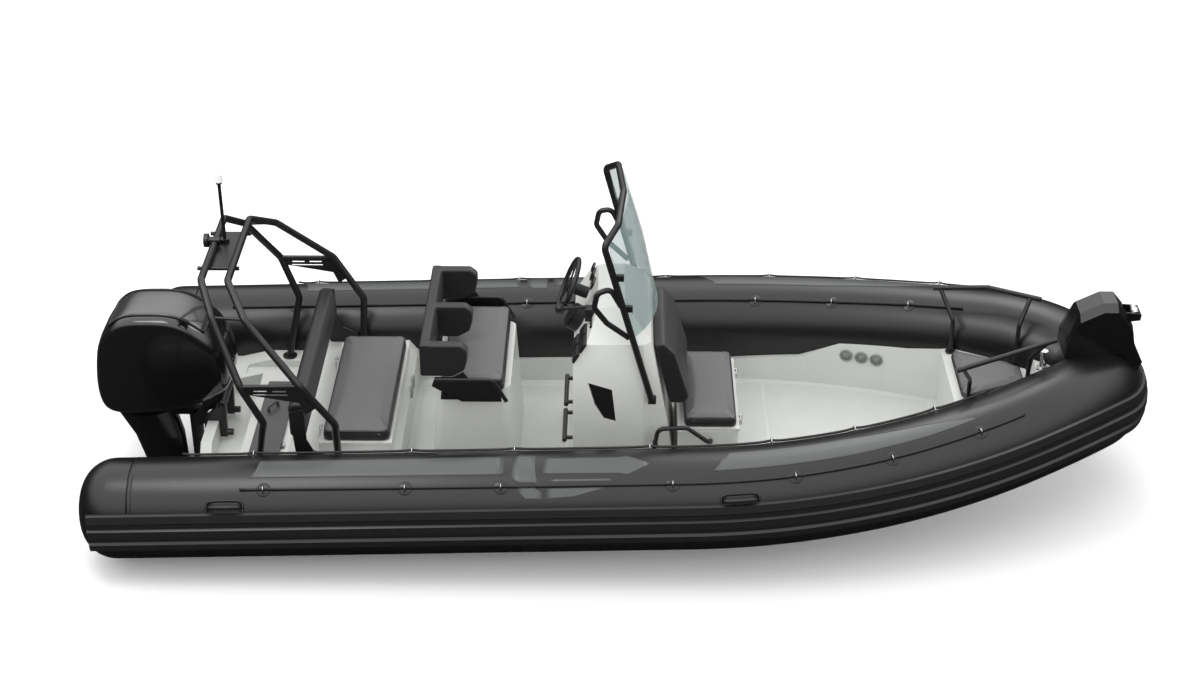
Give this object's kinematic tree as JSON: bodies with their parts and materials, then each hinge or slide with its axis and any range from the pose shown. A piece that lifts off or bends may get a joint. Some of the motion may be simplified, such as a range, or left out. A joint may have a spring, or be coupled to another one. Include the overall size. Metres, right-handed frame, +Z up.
{
  "type": "rigid inflatable boat",
  "caption": "Rigid inflatable boat with centre console, helm seat, stern arch and an outboard motor that tilts and steers.",
  "frame": {"origin": "on the centreline at the waterline, amidships", "axes": "+X towards the bow, +Y to port, +Z up"},
  "size_m": [6.1838, 2.584, 2.632],
  "materials": {
    "black_frame": "powder-coated, satin",
    "cushion_vinyl": "marine vinyl",
    "gelcoat": "moulded gelcoat",
    "hatch_board": "moulded",
    "lamp": "clear lens",
    "motor_gloss": "gloss paint",
    "motor_paint": "gloss paint",
    "stainless": "polished",
    "strake_rubber": "extruded rubber, satin",
    "tinted_screen": "tinted acrylic",
    "tube_fabric": "coated fabric, satin",
    "wheel_rubber": "soft-touch"
  },
  "bodies": {
    "boat": {"arch_aft_hoop": "black_frame", "arch_fore_hoop": "black_frame", "arch_knee_plates": "black_frame", "arch_stays": "black_frame", "arch_top_plate": "black_frame", "bench_backrest": "cushion_vinyl", "bench_backrest_arms": "black_frame", "bow_bitt": "black_frame", "bow_housing": "motor_gloss", "bow_rails": "black_frame", "clamp_brackets": "black_frame", "compass": "wheel_rubber", "console": "gelcoat", "console_backrest": "cushion_vinyl", "console_pads": "strake_rubber", "console_seat_base": "gelcoat", "deck_liner": "gelcoat", "footrests": "black_frame", "grab_rail": "stainless", "helm_backrest": "cushion_vinyl", "helm_cushion": "cushion_vinyl", "helm_pod": "gelcoat", "helm_side_plates": "black_frame", "horn": "black_frame", "hull": "gelcoat", "lid_hinges": "stainless", "light_head": "lamp", "light_mast": "black_frame", "steering_column": "wheel_rubber", "strake_port": "strake_rubber", "strake_starboard": "strake_rubber", "throttle": "wheel_rubber", "tilt_pin": "black_frame", "towing_eyes": "stainless", "tube_port": "tube_fabric", "tube_starboard": "tube_fabric", "windscreen": "tinted_screen", "windscreen_frame": "black_frame"},
    "motor_swivel": {"swivel_bracket": "black_frame"},
    "motor": {"motor_leg": "motor_paint", "motor_cowl": "motor_gloss", "gearcase": "motor_paint"},
    "propeller": {"propeller": "stainless"},
    "helm_wheel": {"steering_wheel": "wheel_rubber"},
    "bench_lid": {"bench_lid": "gelcoat", "bench_cushion": "cushion_vinyl"},
    "bow_lid": {"bow_lid": "gelcoat", "bow_cushion": "cushion_vinyl"},
    "console_seat_lid": {"console_seat_lid": "gelcoat", "console_seat_cushion": "cushion_vinyl"},
    "aft_hatch": {"aft_hatch": "hatch_board"},
    "bow_roller": {"bow_roller": "stainless"}
  },
  "joints": [
    {"name": "motor_tilt", "type": "hinge", "parent": "boat", "child": "motor_swivel", "pos_m": [-2.335, 0, 0.445], "axis": [0, 1, 0], "range_deg": [-4, 60]},
    {"name": "motor_steer", "type": "hinge", "parent": "motor_swivel", "child": "motor", "pos_m": [-2.52, 0, 0.12], "axis": [0, 0, 1], "range_deg": [-30, 30]},
    {"name": "propeller_spin", "type": "hinge", "parent": "motor", "child": "propeller", "pos_m": [-2.956, 0, -0.56], "axis": [1, 0, 0], "continuous": true},
    {"name": "helm_wheel", "type": "hinge", "parent": "boat", "child": "helm_wheel", "pos_m": [-0.283, 0, 1.19], "axis": [0.9272, 0, -0.3746], "range_deg": [-540, 540]},
    {"name": "bench_lid", "type": "hinge", "parent": "boat", "child": "bench_lid", "pos_m": [-1.712, -0.38, 0.463], "axis": [0, -1, 0], "range_deg": [0, 50]},
    {"name": "bow_lid", "type": "hinge", "parent": "boat", "child": "bow_lid", "pos_m": [2.432, -0.06, 0.585], "axis": [0, 1, 0], "range_deg": [0, 50]},
    {"name": "console_seat_lid", "type": "hinge", "parent": "boat", "child": "console_seat_lid", "pos_m": [0.719, -0.26, 0.466], "axis": [0, 1, 0], "range_deg": [0, 80]},
    {"name": "aft_hatch", "type": "hinge", "parent": "boat", "child": "aft_hatch", "pos_m": [-1.937, -0.39, 0.34], "axis": [0, 1, 0], "range_deg": [0, 75]},
    {"name": "bow_roller", "type": "hinge", "parent": "boat", "child": "bow_roller", "pos_m": [2.98778, 0, 1.03344], "axis": [0, 1, 0], "continuous": true}
  ],
  "couplings": [
    {"joint": "helm_wheel", "follows": "motor_steer", "ratio": 18}
  ]
}
